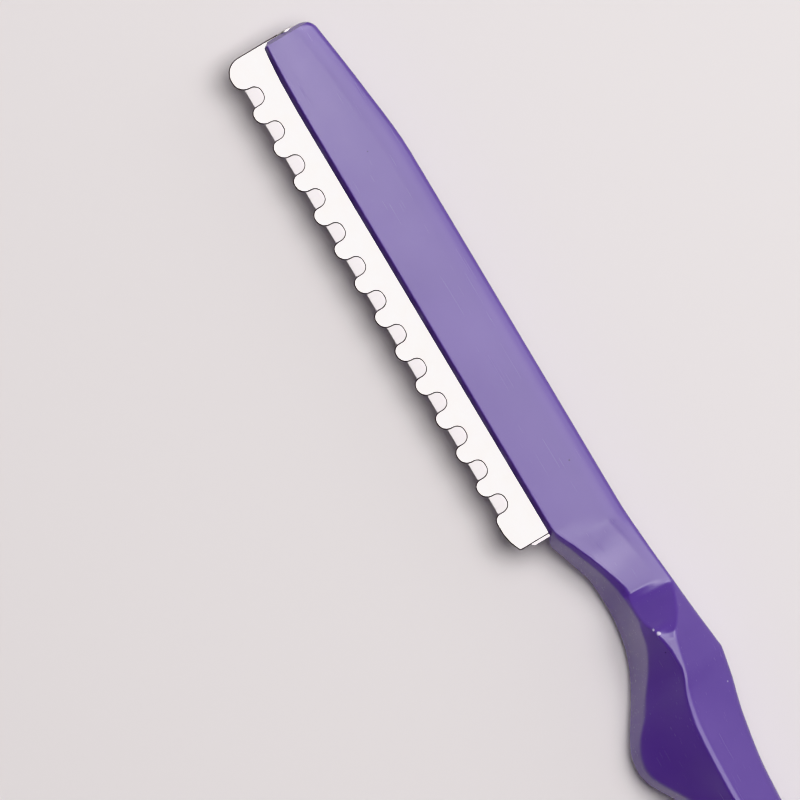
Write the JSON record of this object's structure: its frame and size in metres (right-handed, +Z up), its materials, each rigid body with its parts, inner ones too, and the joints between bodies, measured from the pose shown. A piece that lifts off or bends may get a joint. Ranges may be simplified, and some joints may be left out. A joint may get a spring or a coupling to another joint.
{
  "type": "hair styling razor",
  "caption": "Straight-handled hair styling razor with a comb guard sliding in a slot in its head and a removable blade in the guard.",
  "frame": {"origin": "middle of the razor's box in plan, at the height of its lowest point as it lies on its side", "axes": "+X along the handle toward the head's tip, +Y the way the blade cuts, +Z up, toward the cheek with the comb"},
  "size_m": [0.1722, 0.0156, 0.012],
  "materials": {
    "handle_plastic": "purple ABS, injection moulded and glossy",
    "guard_steel": "stamped stainless sheet, satin, bright",
    "blade_steel": "hardened stainless strip with a ground edge",
    "spine_steel": "plain drawn steel bead"
  },
  "bodies": {
    "handle_body": {"handle": "handle_plastic"},
    "guard_body": {"comb_guard": "guard_steel"},
    "blade_body": {"blade": "blade_steel", "blade_spine": "spine_steel"}
  },
  "joints": [
    {"name": "guard_slide", "type": "slide", "parent": "handle_body", "child": "guard_body", "axis": [1, 0, 0], "range_m": [0, 0.068]},
    {"name": "blade_slide", "type": "slide", "parent": "guard_body", "child": "blade_body", "axis": [1, 0, 0], "range_m": [0, 0.066]}
  ]
}
